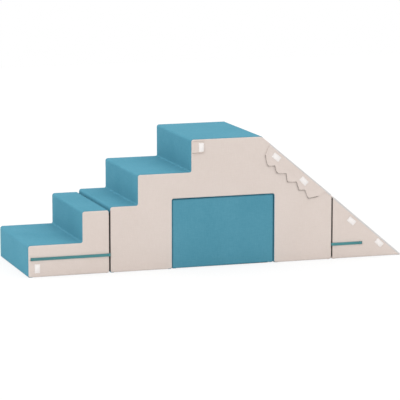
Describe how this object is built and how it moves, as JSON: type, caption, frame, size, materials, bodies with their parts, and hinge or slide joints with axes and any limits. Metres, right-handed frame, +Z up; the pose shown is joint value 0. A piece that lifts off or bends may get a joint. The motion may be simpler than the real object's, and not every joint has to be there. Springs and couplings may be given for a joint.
{
  "type": "soft play foam climber",
  "caption": "Soft play climber of covered foam blocks in a row: low stair, tunnel bridge with platform and slide, wedge foot and a block that fills the tunnel, with straps at the joints.",
  "frame": {"origin": "bottom centre of the whole object's box, on the floor", "axes": "+X along the row from the stair to the foot of the slide, +Z up, -Y out of the side with the zigzag flap"},
  "size_m": [1.8179, 0.5514, 0.6],
  "materials": {
    "teal_fabric": "matte",
    "beige_fabric": "matte",
    "foam": "matte",
    "base_sheet": "matte",
    "teal_webbing": "matte",
    "loop_tape": "matte",
    "white_tape": "matte",
    "zip_tape": "matte",
    "zip_metal": "satin"
  },
  "bodies": {
    "bridge": {"bridge_far_panel": "beige_fabric", "bridge_joint_wall": "beige_fabric", "bridge_left_base": "base_sheet", "bridge_left_post_foam": "foam", "bridge_left_zip": "zip_tape", "bridge_lintel_foam": "foam", "bridge_near_panel": "beige_fabric", "bridge_platform_foam": "foam", "bridge_right_base": "base_sheet", "bridge_right_post_foam": "foam", "bridge_right_zip": "zip_tape", "bridge_slide_cover": "beige_fabric", "bridge_step_cover": "teal_fabric", "bridge_step_post_foam": "foam", "bridge_tunnel_lining": "teal_fabric", "stair_joint_band": "teal_webbing", "wedge_joint_band": "teal_webbing"},
    "stair": {"stair_base": "base_sheet", "stair_far_panel": "beige_fabric", "stair_joint_wall": "beige_fabric", "stair_loop_tape_far": "loop_tape", "stair_loop_tape_near": "loop_tape", "stair_lower_foam": "foam", "stair_near_panel": "beige_fabric", "stair_patch": "white_tape", "stair_step_cover": "teal_fabric", "stair_upper_foam": "foam", "stair_zip": "zip_tape"},
    "wedge": {"wedge_base": "base_sheet", "wedge_far_panel": "beige_fabric", "wedge_foam": "foam", "wedge_joint_wall": "beige_fabric", "wedge_loop_tape_far": "loop_tape", "wedge_loop_tape_near": "loop_tape", "wedge_lower_patch": "white_tape", "wedge_near_panel": "beige_fabric", "wedge_slide_cover": "beige_fabric", "wedge_upper_patch": "white_tape", "wedge_zip": "zip_tape"},
    "tunnel_block": {"tunnel_block_base": "base_sheet", "tunnel_block_far_panel": "teal_fabric", "tunnel_block_foam": "foam", "tunnel_block_near_panel": "teal_fabric", "tunnel_block_wrap": "teal_fabric", "tunnel_block_zip": "zip_tape"},
    "bridge_left_zip_slider": {"bridge_left_zip_slider": "zip_metal"},
    "bridge_right_zip_slider": {"bridge_right_zip_slider": "zip_metal"},
    "corner_tab": {"corner_tab": "beige_fabric", "corner_tab_patch": "white_tape"},
    "ridge_flap": {"ridge_flap": "beige_fabric", "ridge_flap_lower_patch": "white_tape", "ridge_flap_upper_patch": "white_tape"},
    "stair_strap_far": {"stair_strap_far": "teal_webbing"},
    "stair_strap_near": {"stair_strap_near": "teal_webbing"},
    "stair_zip_slider": {"stair_zip_slider": "zip_metal"},
    "tunnel_block_zip_slider": {"tunnel_block_zip_slider": "zip_metal"},
    "wedge_strap_far": {"wedge_strap_far": "teal_webbing"},
    "wedge_strap_near": {"wedge_strap_near": "teal_webbing"},
    "wedge_zip_slider": {"wedge_zip_slider": "zip_metal"}
  },
  "joints": [
    {"name": "stair_pull_off", "type": "slide", "parent": "bridge", "child": "stair", "axis": [-1, 0, 0], "range_m": [0, 0.3]},
    {"name": "wedge_pull_off", "type": "slide", "parent": "bridge", "child": "wedge", "axis": [1, 0, 0], "range_m": [0, 0.3]},
    {"name": "tunnel_block_push", "type": "slide", "parent": "bridge", "child": "tunnel_block", "axis": [0, -1, 0], "range_m": [-0.6, 0.6]},
    {"name": "stair_strap_near_fold", "type": "hinge", "parent": "bridge", "child": "stair_strap_near", "pos_m": [-0.52565, -0.2749, 0.081], "axis": [0, 0, 1], "range_deg": [0, 95]},
    {"name": "stair_strap_far_fold", "type": "hinge", "parent": "bridge", "child": "stair_strap_far", "pos_m": [-0.52565, 0.2749, 0.081], "axis": [0, 0, -1], "range_deg": [0, 95]},
    {"name": "wedge_strap_near_fold", "type": "hinge", "parent": "bridge", "child": "wedge_strap_near", "pos_m": [0.55795, -0.2749, 0.0672], "axis": [0, 0, -1], "range_deg": [0, 95]},
    {"name": "wedge_strap_far_fold", "type": "hinge", "parent": "bridge", "child": "wedge_strap_far", "pos_m": [0.55795, 0.2749, 0.0672], "axis": [0, 0, 1], "range_deg": [0, 95]},
    {"name": "ridge_flap_fold", "type": "hinge", "parent": "bridge", "child": "ridge_flap", "pos_m": [0.20113, -0.2736, 0.59769], "axis": [-0.7686, 0, 0.6398], "range_deg": [0, 120]},
    {"name": "corner_tab_fold", "type": "hinge", "parent": "bridge", "child": "corner_tab", "pos_m": [-0.13325, -0.2736, 0.583], "axis": [0, 0, -1], "range_deg": [0, 120]},
    {"name": "stair_zip_run", "type": "slide", "parent": "stair", "child": "stair_zip_slider", "axis": [1, 0, 0], "range_m": [0, 0.276]},
    {"name": "bridge_left_zip_run", "type": "slide", "parent": "bridge", "child": "bridge_left_zip_slider", "axis": [1, 0, 0], "range_m": [0, 0.192]},
    {"name": "bridge_right_zip_run", "type": "slide", "parent": "bridge", "child": "bridge_right_zip_slider", "axis": [1, 0, 0], "range_m": [0, 0.18]},
    {"name": "wedge_zip_run", "type": "slide", "parent": "wedge", "child": "wedge_zip_slider", "axis": [1, 0, 0], "range_m": [0, 0.18]},
    {"name": "tunnel_block_zip_run", "type": "slide", "parent": "tunnel_block", "child": "tunnel_block_zip_slider", "axis": [1, 0, 0], "range_m": [0, 0.39]}
  ]
}
